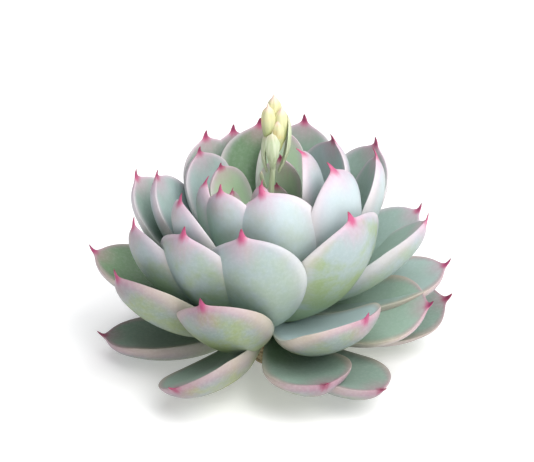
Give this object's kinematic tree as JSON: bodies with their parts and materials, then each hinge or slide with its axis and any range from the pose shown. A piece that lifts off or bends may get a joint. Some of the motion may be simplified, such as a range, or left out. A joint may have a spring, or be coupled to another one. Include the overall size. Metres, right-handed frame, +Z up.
{
  "type": "succulent rosette",
  "caption": "Succulent rosette of thick, cupped, pointed leaves on a short cut stem, with a young flower stalk and buds rising from its heart. Unpotted; rests on its stem and lowest leaves.",
  "frame": {"origin": "middle of the flat cut under the short stem, on the surface that the rosette rests on", "axes": "+Z up along the stem, -Y the rosette's front, +X its right as seen from the front"},
  "size_m": [0.1247, 0.106, 0.0976],
  "materials": {
    "stem": "rough woody bark",
    "old_leaf": "waxy bloom, grey-green with purple tints and crimson point",
    "leaf": "powdery pale blue-green bloom with pink margins and crimson point",
    "young_leaf": "thin bloom, fresher green with pink margins and crimson point",
    "stalk": "smooth pale yellow-green",
    "bud": "smooth cream to pale yellow"
  },
  "bodies": {
    "root": {"stem": "stem", "flower_stalk": "stalk", "outer_leaf_1": "old_leaf", "outer_leaf_2": "old_leaf", "outer_leaf_3": "old_leaf", "outer_leaf_4": "old_leaf", "outer_leaf_5": "old_leaf", "outer_leaf_6": "old_leaf", "outer_leaf_7": "old_leaf", "outer_leaf_8": "old_leaf", "lower_leaf_1": "leaf", "lower_leaf_2": "leaf", "lower_leaf_3": "leaf", "lower_leaf_4": "leaf", "lower_leaf_5": "leaf", "lower_leaf_6": "leaf", "lower_leaf_7": "leaf", "lower_leaf_8": "leaf", "lower_leaf_9": "leaf", "middle_leaf_1": "leaf", "middle_leaf_2": "leaf", "middle_leaf_3": "leaf", "middle_leaf_4": "leaf", "middle_leaf_5": "leaf", "middle_leaf_6": "leaf", "middle_leaf_7": "leaf", "middle_leaf_8": "leaf", "upper_leaf_1": "leaf", "upper_leaf_2": "leaf", "upper_leaf_3": "leaf", "upper_leaf_4": "leaf", "upper_leaf_5": "leaf", "upper_leaf_6": "leaf", "upper_leaf_7": "leaf", "upper_leaf_8": "leaf", "upper_leaf_9": "leaf", "upper_leaf_10": "leaf", "upper_leaf_11": "leaf", "upper_leaf_12": "leaf", "upper_leaf_13": "leaf", "inner_leaf_1": "young_leaf", "inner_leaf_2": "young_leaf", "inner_leaf_3": "young_leaf", "inner_leaf_4": "young_leaf", "inner_leaf_5": "young_leaf", "inner_leaf_6": "young_leaf", "heart_leaf_1": "young_leaf", "heart_leaf_2": "young_leaf", "heart_leaf_3": "young_leaf", "heart_leaf_4": "young_leaf", "bract_1": "stalk", "bract_2": "stalk", "bract_3": "stalk", "bract_4": "stalk", "bract_5": "stalk", "bud_1": "bud", "bud_2": "bud", "bud_3": "bud", "bud_4": "bud"}
  },
  "joints": []
}
